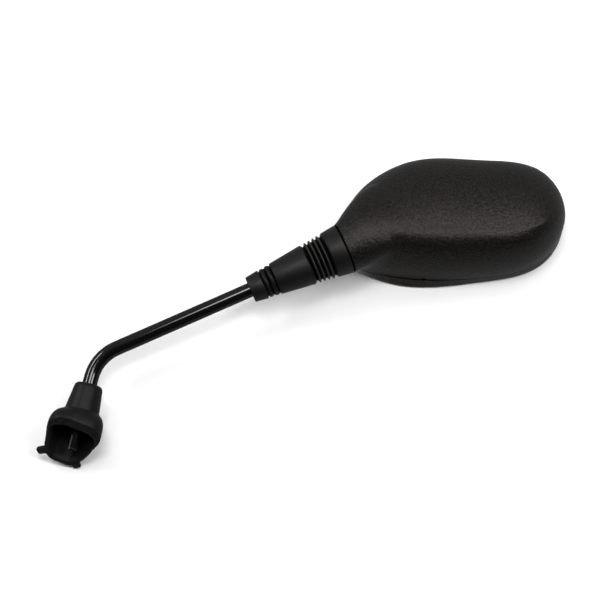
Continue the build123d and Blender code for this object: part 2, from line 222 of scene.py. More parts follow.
def bump(
    tree: bpy.types.NodeTree, height: bpy.types.NodeSocket, strength: float, depth: float
) -> bpy.types.NodeSocket:
    """Add a bump.

    Args:
        tree: node tree that gets the node.
        height: socket with the height.
        strength: share of the bump that is used.
        depth: depth of the bump, in millimetres.

    Returns:
        Socket with the bumped normal.
    """
    inputs = {"Height": height, "Strength": strength, "Distance": mm(depth)}
    return add_node(tree, "ShaderNodeBump", inputs).outputs["Normal"]


def deselect() -> None:
    """Leave edit mode and clear the selection."""
    if bpy.context.mode != "OBJECT":
        bpy.ops.object.mode_set(mode="OBJECT")
    bpy.ops.object.select_all(action="DESELECT")


def activate(piece: bpy.types.Object) -> None:
    """Make a piece the only selected and active object.

    Args:
        piece: the piece.
    """
    deselect()
    piece.select_set(True)
    bpy.context.view_layer.objects.active = piece


def apply_modifiers(piece: bpy.types.Object) -> None:
    """Apply every modifier of a piece in order.

    Args:
        piece: the piece.
    """
    activate(piece)
    for name in [modifier.name for modifier in piece.modifiers]:
        bpy.ops.object.modifier_apply(modifier=name)


def smooth(piece: bpy.types.Object, angle: float) -> None:
    """Shade a piece smooth up to an angle in degrees."""
    activate(piece)
    bpy.ops.object.shade_smooth_by_angle(angle=math.radians(angle))


def clean() -> None:
    """Merge doubles and turn the faces outwards, in edit mode."""
    bpy.ops.mesh.select_all(action="SELECT")
    bpy.ops.mesh.remove_doubles(threshold=WELD)
    bpy.ops.mesh.normals_make_consistent(inside=False)


def seed(name: str) -> bpy.types.Object:
    """Start a piece as one vertex at the origin, in edit mode.

    Args:
        name: name of the piece.

    Returns:
        The piece, ready to be extruded into a line.
    """
    deselect()
    bpy.ops.mesh.primitive_plane_add(size=mm(1.0), location=(0, 0, 0))
    piece = bpy.context.active_object
    piece.name = piece.data.name = name
    bpy.ops.object.mode_set(mode="EDIT")
    bpy.ops.mesh.merge(type="CENTER")
    return piece


def lathe(
    name: str, profile: Profile, origin: Vector, axis: Vector, radial: Vector, steps: int
) -> bpy.types.Object:
    """Draw a closed profile by extruding a vertex, and spin it round an axis.

    Args:
        name: name of the piece.
        profile: radius and station of each corner, in millimetres.
        origin: point on the axis where stations start.
        axis: direction of the axis.
        radial: direction of the profile's radii.
        steps: facets of the full turn.

    Returns:
        The spun object, with its place in its mesh.
    """
    points = [origin + radial * mm(radius) + axis * mm(station) for radius, station in profile]
    piece = seed(name)
    bpy.ops.transform.translate(value=points[0])
    for here, there in zip(points, points[1:] + points[:1]):
        bpy.ops.mesh.extrude_region_move(TRANSFORM_OT_translate={"value": there - here})
    bpy.ops.mesh.select_all(action="SELECT")
    bpy.ops.mesh.remove_doubles(threshold=WELD)
    bpy.ops.mesh.select_all(action="SELECT")
    bpy.ops.mesh.spin(steps=steps, angle=math.tau, center=origin, axis=axis)
    clean()
    bpy.ops.object.mode_set(mode="OBJECT")
    return piece


@dataclass(frozen=True)
class Finish:
    """A finish that is built once as a material and then put on pieces."""

    name: str

    def shade(self, tree: bpy.types.NodeTree, place: bpy.types.NodeSocket) -> dict[str, Any]:
        """Add the nodes of this finish.

        Args:
            tree: node tree of the material.
            place: socket with the Object coordinates.

        Returns:
            Value or socket for each input of the surface shader that the finish sets.
        """
        raise NotImplementedError

    def glance(
        self, tree: bpy.types.NodeTree, face_on: float, edge_on: float
    ) -> bpy.types.NodeSocket:
        """Add the nodes of a gloss that a fine grain's own shade weakens at glancing angles.

        Args:
            tree: node tree of the material.
            face_on: gloss seen square on.
            edge_on: gloss seen along the surface.

        Returns:
            Socket with the gloss.
        """
        edge = add_node(tree, "ShaderNodeLayerWeight", {"Blend": 0.5})
        return remap(tree, edge.outputs["Facing"], GLANCE_REACH, (face_on, edge_on))

    def build(self) -> bpy.types.Material:
        """Build the material, once.

        Returns:
            The material of this finish.
        """
        if self.name in bpy.data.materials:
            return bpy.data.materials[self.name]
        material = bpy.data.materials.new(self.name)
        material.use_nodes = True
        tree = material.node_tree
        tree.nodes.clear()
        place = add_node(tree, "ShaderNodeTexCoord").outputs["Object"]
        shader = add_node(tree, "ShaderNodeBsdfPrincipled", self.shade(tree, place))
        add_node(tree, "ShaderNodeOutputMaterial", {"Surface": shader.outputs["BSDF"]})
        return material

    def put_on(self, piece: bpy.types.Object) -> None:
        """Give a piece this finish on all its slots.

        Args:
            piece: modelled piece or node of the part.
        """
        if not piece.material_slots:
            piece.data.materials.append(None)
        for slot in piece.material_slots:
            slot.material = self.build()


@dataclass(frozen=True)
class ShutLine:
    """Plane of a joint between two mouldings, along which the colour is painted near black and the
    gloss taken off as painted shade in the gap.
    """

    point: Triple
    normal: Triple
    half: float
    fade: float = 0.3

    def share(
        self, tree: bpy.types.NodeTree, place: bpy.types.NodeSocket
    ) -> bpy.types.NodeSocket:
        """Add the nodes that tell how near a place is to the joint.

        Args:
            tree: node tree of the material.
            place: socket with the Object coordinates.

        Returns:
            Socket that is one in the joint and nought away from it.
        """
        point = [mm(value) for value in self.point]
        offset = add_node(tree, "ShaderNodeVectorMath", {0: place, 1: point}, operation="SUBTRACT")
        depth = add_node(
            tree,
            "ShaderNodeVectorMath",
            {0: offset.outputs["Vector"], 1: self.normal},
            operation="DOT_PRODUCT",
        )
        away = add_node(tree, "ShaderNodeMath", {0: depth.outputs["Value"]}, operation="ABSOLUTE")
        reach = (mm(self.half), mm(self.half + self.fade))
        return remap(tree, away.outputs[0], reach, (1.0, 0.0))


@dataclass(frozen=True)
class GrainedAbs(Finish):
    """ABS moulded in a spark-eroded tool: a satin black with a fine pebble that breaks up gloss."""

    grain: float
    depth: float
    rough: Pair
    gloss: float
    joint: ShutLine
    dark: str = "#0a0909"
    light: str = "#0d0c0c"
    # Near-black colour of the painted shade along the joint
    painted_joint_shade: str = "#020202"
    # Warm tint of the gloss, which paints the warmth of the light into the reflections while the
    # lamps stay white
    tint: str = "#fff6ee"
    drift: float = 38.0
    tops: Pair = (0.6, 1.45)
    edge_share: float = 0.45
    ior: float = 1.53

    def shade(self, tree: bpy.types.NodeTree, place: bpy.types.NodeSocket) -> dict[str, Any]:
        """Pebble as bump, roughness and gloss, a drift of tone from handling, and painted shade
        along the joint.

        Args:
            tree: node tree of the material.
            place: socket with the Object coordinates.

        Returns:
            Value or socket for each input of the surface shader.
        """
        pebble = noise(tree, place, self.grain, 2.0, 0.6)
        drift = noise(tree, place, self.drift, 3.0, 0.55)
        tone = mix(tree, drift, linear(self.dark), linear(self.light))
        joint = self.joint.share(tree, place)
        shine = add_node(
            tree,
            "ShaderNodeMath",
            {
                0: self.glance(tree, self.gloss, self.edge_share * self.gloss),
                1: remap(tree, pebble, NOISE_MIDDLE, self.tops),
            },
            operation="MULTIPLY",
        )
        return {
            # Along the joint the colour goes near black and the gloss goes to nought: painted shade
            "Base Color": mix(tree, joint, tone, linear(self.painted_joint_shade)),
            "Specular IOR Level": remap(tree, joint, WHOLE, (shine.outputs[0], 0.0)),
            "Roughness": remap(tree, pebble, NOISE_REACH, self.rough),
            "Normal": bump(tree, pebble, 1.0, self.depth),
            "IOR": self.ior,
            "Specular Tint": linear(self.tint),
        }


@dataclass(frozen=True)
class MouldedRubber(Finish):
    """EPDM rubber from a blasted mould: matt black with a greyish bloom.

    Where a piece is marked for it, its crests get a painted highlight and its grooves a painted
    shade.
    """

    dark: str
    bloom: str
    bloom_size: float
    grit: float
    rough: float
    gloss: float
    # Pale colour of the painted highlight on the fins' crests
    painted_crest_highlight: str = "#4c4a47"
    # Near-black colour of the painted shade in the grooves and inside the gaiter
    painted_groove_shade: str = "#010101"
    bloom_reach: Pair = (0.35, 0.7)
    rough_spread: float = 0.06
    edge_share: float = 0.4
    grit_strength: float = 0.4
    grit_depth: float = 0.12
    sheen: float = 0.02
    sheen_rough: float = 0.5
    ior: float = 1.5

    def shade(self, tree: bpy.types.NodeTree, place: bpy.types.NodeSocket) -> dict[str, Any]:
        """Blotchy bloom as colour, blasted grit as bump, painted shade in the grooves and painted
        highlights on the crests.

        Args:
            tree: node tree of the material.
            place: socket with the Object coordinates.

        Returns:
            Value or socket for each input of the surface shader.
        """
        bloom = noise(tree, place, self.bloom_size, 4.0, 0.6)
        share = remap(tree, bloom, self.bloom_reach, WHOLE)
        tone = mix(tree, share, linear(self.dark), linear(self.bloom))
        painted_groove_shade = add_node(tree, "ShaderNodeAttribute", attribute_name=GROOVE).outputs["Fac"]
        crest = remap(tree, painted_groove_shade, (0.0, CREST), WHOLE)
        # Marked crests take the pale colour: painted highlight
        with_painted_highlight = mix(tree, crest, tone, linear(self.painted_crest_highlight))
        shine = self.glance(tree, self.gloss, self.edge_share * self.gloss)
        grit = noise(tree, place, self.grit, 3.0, 0.65)
        rough = (self.rough - self.rough_spread, self.rough + self.rough_spread)
        return {
            # Grooves take the painted shade colour and lose their gloss
            "Base Color": mix(tree, painted_groove_shade, with_painted_highlight, linear(self.painted_groove_shade)),
            "Specular IOR Level": remap(tree, painted_groove_shade, WHOLE, (shine, 0.0)),
            "Roughness": remap(tree, grit, NOISE_REACH, rough),
            "Normal": bump(tree, grit, self.grit_strength, self.grit_depth),
            "IOR": self.ior,
            "Sheen Weight": self.sheen,
            "Sheen Roughness": self.sheen_rough,
        }


@dataclass(frozen=True)
class StovedEnamel(Finish):
    """Black enamel stoved on steel: a deep mirror gloss with a faint orange peel."""

    colour: str
    peel: float
    peel_strength: float = 0.12
    peel_depth: float = 0.05
    rough: Pair = (0.07, 0.13)
    gloss: Pair = (0.28, 0.05)
    coat: Pair = (0.2, 0.03)
    coat_rough: float = 0.03
    ior: float = 1.52

    def shade(self, tree: bpy.types.NodeTree, place: bpy.types.NodeSocket) -> dict[str, Any]:
        """Orange peel as bump under a clear gloss.

        Args:
            tree: node tree of the material.
            place: socket with the Object coordinates.

        Returns:
            Value or socket for each input of the surface shader.
        """
        peel = noise(tree, place, self.peel, 1.0, 0.4)
        return {
            "Base Color": linear(self.colour),
            "Specular IOR Level": self.glance(tree, *self.gloss),
            "Roughness": remap(tree, peel, WHOLE, self.rough),
            "Normal": bump(tree, peel, self.peel_strength, self.peel_depth),
            "IOR": self.ior,
            "Coat Weight": self.glance(tree, *self.coat),
            "Coat Roughness": self.coat_rough,
        }


@dataclass(frozen=True)
class PlainMetal(Finish):
    """Plated or ground steel: a metal gloss streaked by the lines of its turning or grinding."""

    dark: str
    light: str
    line: float
    rough: float
    blotch: float = 5.0
    line_strength: float = 0.15
    line_depth: float = 0.03

    def shade(self, tree: bpy.types.NodeTree, place: bpy.types.NodeSocket) -> dict[str, Any]:
        """Lines as bump and a blotch of tone, as plating has.

        Args:
            tree: node tree of the material.
            place: socket with the Object coordinates.

        Returns:
            Value or socket for each input of the surface shader.
        """
        blotch = noise(tree, place, self.blotch, 3.0, 0.6)
        scale = math.tau * per_mm(self.line) / WAVE_RATE
        lines = add_node(
            tree,
            "ShaderNodeTexWave",
            {"Vector": place, "Scale": scale, "Distortion": 1.5, "Detail": 2.0},
            bands_direction="Z",
        )
        return {
            "Base Color": mix(tree, blotch, linear(self.dark), linear(self.light)),
            "Roughness": self.rough,
            "Normal": bump(tree, lines.outputs["Fac"], self.line_strength, self.line_depth),
            "Metallic": 1.0,
        }


@dataclass(frozen=True)
class MouldedResin(Finish):
    """Acetal or closed-cell foam: an even tone with fine cells or flow marks in it."""

    dark: str
    light: str
    cell: float
    depth: float
    rough: float
    cell_strength: float = 0.3

    def shade(self, tree: bpy.types.NodeTree, place: bpy.types.NodeSocket) -> dict[str, Any]:
        """Cells as colour and bump.

        Args:
            tree: node tree of the material.
            place: socket with the Object coordinates.

        Returns:
            Value or socket for each input of the surface shader.
        """
        inputs = {"Vector": place, "Scale": per_mm(self.cell)}
        cells = add_node(tree, "ShaderNodeTexVoronoi", inputs).outputs["Distance"]
        return {
            "Base Color": mix(tree, cells, linear(self.dark), linear(self.light)),
            "Roughness": self.rough,
            "Normal": bump(tree, cells, self.cell_strength, self.depth),
        }


@dataclass(frozen=True)
class SilveredGlass(Finish):
    """Chromed convex glass: a bright, slightly blue mirror with a breath of haze."""

    tint: str
    haze: float = 30.0
    rough: Pair = (0.01, 0.05)
    coat: float = 0.5
    coat_rough: float = 0.01

    def shade(self, tree: bpy.types.NodeTree, place: bpy.types.NodeSocket) -> dict[str, Any]:
        """Faint haze in patches over a metal mirror.

        Args:
            tree: node tree of the material.
            place: socket with the Object coordinates.

        Returns:
            Value or socket for each input of the surface shader.
        """
        haze = noise(tree, place, self.haze, 4.0, 0.6)
        return {
            "Base Color": linear(self.tint),
            "Metallic": 1.0,
            "Roughness": remap(tree, haze, WHOLE, self.rough),
            "Coat Weight": self.coat,
            "Coat Roughness": self.coat_rough,
        }


# Joints where the housing gets painted shade: at the neck's seam with the gaiter and at the parting
# with the bezel
NECK_SEAM = ShutLine((147.4, 0.0, 153.7), (0.80489, 0.0, 0.59342), half=0.6)
PARTING = ShutLine((144.2, 21.95, 152.4), (0.06802, -0.99768, 0.0), half=1.0)

# The grain of the housing and the grit of the rubber are drawn coarser than the real ones, which
# are well under a millimetre, so that they show at the photograph's scale.
SHELL_ABS = GrainedAbs(
    "grained_black_abs", grain=1.3, depth=0.42, rough=(0.32, 0.5), gloss=0.25, joint=NECK_SEAM
)
BEZEL_ABS = GrainedAbs(
    "satin_black_abs", grain=1.0, depth=0.2, rough=(0.32, 0.42), gloss=0.45, joint=PARTING
)
GAITER_RUBBER = MouldedRubber(
    "gaiter_epdm_rubber", "#0a0a09", "#0f0e0e", bloom_size=7.0, grit=0.8, rough=0.46, gloss=0.23
)
BOOT_RUBBER = MouldedRubber(
    "boot_epdm_rubber", "#0a0909", "#100e0d", bloom_size=9.0, grit=0.9, rough=0.48, gloss=0.15
)
STEM_ENAMEL = StovedEnamel("stoved_black_enamel", "#060607", peel=2.5)

# The lines of the metals are drawn coarser than real turning or grinding lines.
NUT_ZINC = PlainMetal("black_zinc_plate", "#26262a", "#3a3a3e", line=3.77, rough=0.38)
BALL_STEEL = PlainMetal("ground_bearing_steel", "#7d7f82", "#9a9c9f", line=3.1416, rough=0.22)
SPRING_STEEL = PlainMetal("blued_spring_steel", "#3d4046", "#565a60", line=3.1416, rough=0.34)
SEAT_ACETAL = MouldedResin(
    "moulded_acetal", "#d6d2c6", "#e3e0d6", cell=1.4, depth=0.02, rough=0.36
)
PAD_FOAM = MouldedResin("closed_cell_foam", "#161616", "#232323", cell=0.8, depth=0.2, rough=0.85)
MIRROR_GLASS = SilveredGlass("silvered_convex_glass", "#c8ced2")


@dataclass(frozen=True)
class Stations:
    """Lines that the pieces share: the stud along Z, the bend, and the neck axis to the ball."""

    bend_height: float = 45.0
    bend_angle: float = 53.6
    bend_radius: float = 28.0
    ball_reach: float = 181.0

    @property
    def neck(self) -> Vector:
        """Direction of the neck axis."""
        angle = math.radians(self.bend_angle)
        return Vector((math.sin(angle), 0.0, math.cos(angle)))

    @property
    def radial(self) -> Vector:
        """Direction square to the neck axis in the plane of the bend."""
        return Vector((self.neck.z, 0.0, -self.neck.x))

    @property
    def ball(self) -> Vector:
        """Centre of the ball."""
        return Vector((0.0, 0.0, mm(self.bend_height))) + self.neck * mm(self.ball_reach)

    def on_neck(self, station: float) -> Vector:
        """Point on the neck axis at a station from the ball."""
        return self.ball + self.neck * mm(station)


@dataclass
class StemSet:
    """Bent steel stem with its threaded stud, nut and ball."""

    stations: Stations
    stem_diameter: float = 10.0
    stud_diameter: float = 8.0
    core_diameter: float = 7.19
    root_diameter: float = 6.6
    pitch: float = 1.25
    tooth: tuple[float, float, float, float] = (0.16, 0.56, 0.72, 1.12)
    stud_reach: float = 19.5
    spare_turns: int = 2
    core_overlap: float = 0.2
    shoulder: float = 10.0
    shoulder_edge: float = 0.5
    ball_facet: float = 7.48
    lead: float = 1.0
    rod_facets: int = 96
    bend_steps: int = 28
    thread_steps: int = 40
    smooth_angle: float = 30.0

    def rod(self) -> bpy.types.Object:
        """Draw the bent rod from its foot up to the ball.

        Returns:
            The rod, closed at both ends.
        """
        lines = self.stations
        angle = math.radians(lines.bend_angle)
        tangent = lines.bend_radius * math.tan(angle / 2)
        low = lines.bend_height - tangent
        deselect()
        bpy.ops.mesh.primitive_circle_add(
            vertices=self.rod_facets,
            radius=mm(self.core_diameter / 2),
            fill_type="NGON",
            location=(0, 0, mm(-self.core_overlap)),
        )
        rod = bpy.context.active_object
        rod.name = rod.data.name = "stem_rod"
        bpy.ops.object.transform_apply(location=True, rotation=True, scale=True)
        bpy.ops.object.mode_set(mode="EDIT")
        bpy.ops.mesh.select_all(action="SELECT")
        bpy.ops.mesh.extrude_region_move(
            TRANSFORM_OT_translate={"value": (0, 0, mm(self.shoulder + self.core_overlap))}
        )
        foot_diameter = self.stem_diameter - 2 * self.shoulder_edge
        self.widen(foot_diameter / self.core_diameter, 0.0)
        self.widen(self.stem_diameter / foot_diameter, self.shoulder_edge)
        bpy.ops.mesh.extrude_region_move(
            TRANSFORM_OT_translate={"value": (0, 0, mm(low - self.shoulder - self.shoulder_edge))}
        )
        bpy.ops.mesh.spin(
            steps=self.bend_steps,
            angle=angle,
            center=(mm(lines.bend_radius), 0, mm(low)),
            axis=(0, -1, 0),
        )
        run = lines.ball_reach - self.ball_facet - tangent
        bpy.ops.mesh.extrude_region_move(TRANSFORM_OT_translate={"value": lines.neck * mm(run)})
        clean()
        bpy.ops.object.mode_set(mode="OBJECT")
        return rod

    def widen(self, factor: float, rise: float) -> None:
        """Extrude the open end, scale it about the stud's axis and lift it.

        Args:
            factor: scale of the new ring.
            rise: lift along the stud, in millimetres.
        """
        bpy.ops.mesh.extrude_region_move(TRANSFORM_OT_translate={"value": (0, 0, mm(rise))})
        bpy.ops.transform.resize(value=(factor, factor, 1), center_override=(0, 0, 0))

    def thread(self) -> bpy.types.Object:
        """Draw one turn's tooth, screw it down the stud and trim both ends.

        Returns:
            The threaded stud, closed at both ends.
        """
        root, crest = self.root_diameter / 2, self.stud_diameter / 2
        radii = (root, root, crest, crest, root, root)
        corners = list(zip(radii, (0.0, *self.tooth, self.pitch)))
        start = -self.stud_reach - self.spare_turns * self.pitch
        stud = seed("stud_thread")
        bpy.ops.transform.translate(value=(mm(root), 0, mm(start)))
        for here, there in zip(corners, corners[1:]):
            step = (mm(there[0] - here[0]), 0, mm(there[1] - here[1]))
            bpy.ops.mesh.extrude_region_move(TRANSFORM_OT_translate={"value": step})
        bpy.ops.object.mode_set(mode="OBJECT")
        length = self.stud_reach + 2 * self.spare_turns * self.pitch
        screw = stud.modifiers.new("turns", "SCREW")
        screw.screw_offset = mm(self.pitch)
        screw.iterations = math.ceil(length / self.pitch)
        screw.steps = screw.render_steps = self.thread_steps
        screw.use_merge_vertices = True
        screw.merge_threshold = WELD
        apply_modifiers(stud)
        bpy.ops.object.mode_set(mode="EDIT")
        clean()
        for level, inner in ((-self.stud_reach, True), (0.0, False)):
            bpy.ops.mesh.select_all(action="SELECT")
            bpy.ops.mesh.bisect(
                plane_co=(0, 0, mm(level)),
                plane_no=(0, 0, 1),
                use_fill=True,
                clear_inner=inner,
                clear_outer=not inner,
            )
        clean()
        bpy.ops.object.mode_set(mode="OBJECT")
        self.chamfer(stud, crest)
        return stud

    def chamfer(self, stud: bpy.types.Object, crest: float) -> None:
        """Draw the thread in towards the stud's free end.

        Args:
            stud: the trimmed thread.
            crest: radius of the thread's crests, in millimetres.
        """
        for vertex in stud.data.vertices:
            limit = mm(crest - max(0.0, -self.stud_reach + self.lead - vertex.co.z * 1000.0))
            reach = math.hypot(vertex.co.x, vertex.co.y)
            if reach > limit:
                vertex.co.x *= limit / reach
                vertex.co.y *= limit / reach

    def build(self) -> list[bpy.types.Object]:
        """Build the stem and dress it with its nut and ball.

        Returns:
            The new pieces.
        """
        rod, stud = self.rod(), self.thread()
        activate(rod)
        stud.select_set(True)
        bpy.ops.object.join()
        smooth(rod, self.smooth_angle)
        STEM_ENAMEL.put_on(rod)
        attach(rod, Body.STEM.value)
        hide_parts("stem")
        NUT_ZINC.put_on(frame["nodes"]["lock_nut"])
        BALL_STEEL.put_on(frame["nodes"]["pivot_ball"])
        return [rod]


@dataclass
class Gaiter:
    """Rubber gaiter: a cone with a grip, two ribs, a bellows and a collar."""

    stations: Stations
    start: float = -68.0
    end: float = 1.7
    small_diameter: float = 18.2
    large_diameter: float = 35.0
    length: float = 69.8
    grip_end: float = -58.5
    rib_count: int = 2
    rib_width: float = 3.1
    rib_groove: float = 0.9
    rib_depth: float = 1.2
    rib_steps: int = 10
    rib_fullness: float = 0.6
    rib_lean: float = 0.15
    cone_start: float = -49.6
    cone_lean: float = 0.1
    bellows_start: float = -25.0
    bellows_end: float = -9.3
    groove_count: int = 5
    fin_depth: float = 2.0
    fin_tip: float = 0.55
    tip_drop: float = 0.12
    tip_side: float = 0.4
    groove_floor: float = 0.6
    floor_rise: float = 0.15
    floor_out: float = 0.08
    floor_in: float = 0.1
    bore: float = 5.3
    wall: float = 3.0
    mouth: float = 13.3
    edge: float = 0.6
    edge_turns: tuple[float, ...] = (0.0, 22.5, 45.0, 67.5, 90.0)
    dark_depth: float = 1.0
    crest_depth: float = 0.05
    crest_margin: float = 0.5
    blend_start: float = -55.0
    blend_end: float = -9.5
    facets: int = 128
    smooth_angle: float = 40.0

    def envelope(self, station: float) -> float:
        """Radius of the cone at a station."""
        share = (station - self.start) / self.length
        return (self.small_diameter + share * (self.large_diameter - self.small_diameter)) / 2

    def small_end(self) -> Profile:
        """Outer profile of the grip and the ribs.

        Returns:
            Corners from the small end to the foot of the cone.
        """
        corners = self.edge_arc(self.start, 1.0)
        corners += self.edge_arc(self.grip_end, -1.0)
        at = self.grip_end
        for _ in range(self.rib_count):
            floor = self.envelope(at) - self.rib_depth
            corners += [(floor, at + self.rib_lean), (floor, at + self.rib_groove - self.rib_lean)]
            at += self.rib_groove
            for step in range(1, self.rib_steps):
                turn = math.pi * step / self.rib_steps
                lift = self.rib_depth * math.sin(turn) ** self.rib_fullness
                corners.append((floor + lift, at + self.rib_width * (1 - math.cos(turn)) / 2))
            at += self.rib_width
        floor = self.envelope(at) - self.rib_depth
        corners += [(floor, at + self.rib_lean), (floor, self.cone_start - self.cone_lean)]
        return corners + self.edge_arc(self.cone_start, 1.0)

    def edge_arc(self, station: float, side: float) -> Profile:
        """Rounded edge of the cone at a station.

        Args:
            station: where the edge would be sharp.
            side: 1 where the cone goes on after the station, -1 where it ends there.

        Returns:
            Corners of the rounding, in the order of their stations.
        """
        radius = self.envelope(station)
        turns = [math.radians(angle) for angle in self.edge_turns]
        corners = [
            (
                radius - self.edge * (1 - math.sin(turn)),
                station + side * self.edge * (1 - math.cos(turn)),
            )
            for turn in turns
        ]
        return corners if side > 0 else corners[::-1]

    def grooves(self) -> list[Profile]:
        """Profiles of the bellows' grooves.

        Returns:
            Corners of each groove, from the tip before it to the tip after it.
        """
        pitch = (self.bellows_end - self.bellows_start) / self.groove_count
        last = self.groove_count - 1
        half = self.groove_floor / 2
        found = []
        for number in range(self.groove_count):
            low = self.bellows_start + number * pitch + (self.fin_tip / 2 if number else 0.0)
            high = self.bellows_start + (number + 1) * pitch
            high -= self.fin_tip / 2 if number < last else 0.0
            middle = (low + high) / 2
            floor = self.envelope(middle) - self.fin_depth
            found.append(
                [
                    (self.envelope(low) - self.tip_drop, low),
                    (self.envelope(low) - self.tip_side, low + self.tip_drop),
                    (floor + self.floor_rise, middle - half - self.floor_out),
                    (floor, middle - half + self.floor_in),
                    (floor, middle + half - self.floor_in),
                    (floor + self.floor_rise, middle + half + self.floor_out),
                    (self.envelope(high) - self.tip_side, high - self.tip_drop),
                    (self.envelope(high) - self.tip_drop, high),
                ]
            )
        return found

    def tip(self, before: Profile, after: Profile) -> Profile:
        """Rounded crest of the fin between two grooves."""
        station = (before[-1][1] + after[0][1]) / 2
        return [(self.envelope(station), station)]

    def mark_grooves(self, piece: bpy.types.Object) -> None:
        """Mark each vertex by its depth under the cone, for painted shade, and the crests of the
        fins for a painted highlight.

        Args:
            piece: spun length of the gaiter.
        """
        lines = self.stations
        first = self.bellows_start + self.crest_margin
        last = self.bellows_end - self.crest_margin
        marks = piece.data.attributes.new(GROOVE, "FLOAT", "POINT")
        for vertex, mark in zip(piece.data.vertices, marks.data):
            offset = vertex.co - lines.ball
            along = offset.dot(lines.neck)
            radius = (offset - lines.neck * along).length
            station = along * 1000.0
            depth = self.envelope(station) - radius * 1000.0
            # The deeper a vertex lies under the cone's skin, the more painted shade it gets, up to
            # full at dark_depth
            mark.value = min(1.0, max(0.0, depth / self.dark_depth))
            # Crests of the bellows' fins are marked for the painted highlight
            if depth < self.crest_depth and first < station < last:
                mark.value = CREST

    def profiles(self) -> tuple[Profile, Profile, float]:
        """Closed profiles of the gaiter's two lengths, which meet on the floor of a groove.

        Returns:
            Profile of the cone, profile of the collar, and the station where they meet.
        """
        grooves = self.grooves()
        split_groove = grooves[1]
        split = (split_groove[3][1] + split_groove[4][1]) / 2
        floor = split_groove[3][0]
        lower = self.small_end() + self.edge_arc(self.bellows_start, -1.0)
        lower += grooves[0][2:] + self.tip(grooves[0], split_groove) + split_groove[:4]
        lower += [
            (floor, split),
            (self.envelope(split) - self.wall, split),
            (self.envelope(self.cone_start) - self.wall, self.cone_start),
            (self.bore, self.grip_end),
            (self.bore, self.start),
        ]
        upper: Profile = [(floor, split)] + split_groove[4:]
        for before, after in zip(grooves[1:], grooves[2:]):
            upper += self.tip(before, after) + after
        upper = upper[:-2] + self.edge_arc(self.bellows_end, 1.0) + self.edge_arc(self.end, -1.0)
        upper += [
            (self.mouth, self.end),
            (self.mouth, self.bellows_end),
            (self.envelope(split) - self.wall, split),
        ]
        return lower, upper, split

    def build(self) -> list[bpy.types.Object]:
        """Spin the gaiter in two lengths that meet in a groove.

        Returns:
            The two lengths.
        """
        lines = self.stations
        lower, upper, split = self.profiles()
        pieces = []
        for name, profile in (("gaiter_cone", lower), ("gaiter_collar", upper)):
            piece = lathe(name, profile, lines.ball, lines.neck, lines.radial, self.facets)
            self.mark_grooves(piece)
            smooth(piece, self.smooth_angle)
            GAITER_RUBBER.put_on(piece)
            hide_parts("gaiter")
            pieces.append(piece)
        cone, collar = pieces
        low, middle = lines.on_neck(self.blend_start), lines.on_neck(split)
        high = lines.on_neck(self.blend_end)
        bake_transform(cone)
        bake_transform(collar)
        return pieces


@dataclass
class Boot:
    """Rubber hood over the nut, with the soft edges of a moulding."""

    voxel: float = 0.55
    rounds: int = 6
    relax_share: float = 0.5
    smooth_angle: float = 60.0

    def build(self) -> list[bpy.types.Object]:
        """Copy the hood's solid, remesh it finely and relax its edges.

        Returns:
            The softened hood.
        """
        activate(frame["nodes"]["boot"])
        bpy.ops.object.duplicate()
        boot = bpy.context.active_object
        boot.name = boot.data.name = "boot_moulding"
        bpy.ops.object.parent_clear(type="CLEAR_KEEP_TRANSFORM")
        for key in [key for key in boot.keys() if key.startswith("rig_")]:
            del boot[key]
        bpy.ops.object.mode_set(mode="EDIT")
        bpy.ops.mesh.select_all(action="SELECT")
        bpy.ops.mesh.remove_doubles(threshold=WELD)
        bpy.ops.object.mode_set(mode="OBJECT")
        remesh = boot.modifiers.new("even_skin", "REMESH")
        remesh.mode = "VOXEL"
        remesh.voxel_size = mm(self.voxel)
        relax = boot.modifiers.new("soft_edges", "SMOOTH")
        relax.factor = self.relax_share
        relax.iterations = self.rounds
        apply_modifiers(boot)
        smooth(boot, self.smooth_angle)
        BOOT_RUBBER.put_on(boot)
        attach(boot, Body.BOOT.value)
        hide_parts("boot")
        return [boot]


@dataclass
class Head:
    """Housing, bezel and glass, with the clamp of the ball joint inside."""

    dress: tuple[tuple[str, Finish], ...] = (
        ("back_shell", SHELL_ABS),
        ("bezel", BEZEL_ABS),
        ("mirror_glass", MIRROR_GLASS),
        ("glass_pad", PAD_FOAM),
        ("ball_seat", SEAT_ACETAL),
        ("clamp_cup", SEAT_ACETAL),
        ("disc_springs", SPRING_STEEL),
        ("retaining_ring", SPRING_STEEL),
    )

    def build(self) -> list[bpy.types.Object]:
        """Dress the housing's parts.

        Returns:
            The dressed parts.
        """
        for node, finish in self.dress:
            finish.put_on(frame["nodes"][node])
        return [frame["nodes"][node] for node, _ in self.dress]


@dataclass(frozen=True)
class Lamp:
    """Rectangular lamp: metres right, up the table and above it from the middle, size and watts."""

    name: str
    place: Triple
    size: Pair
    power: float
    mirrored: bool = True


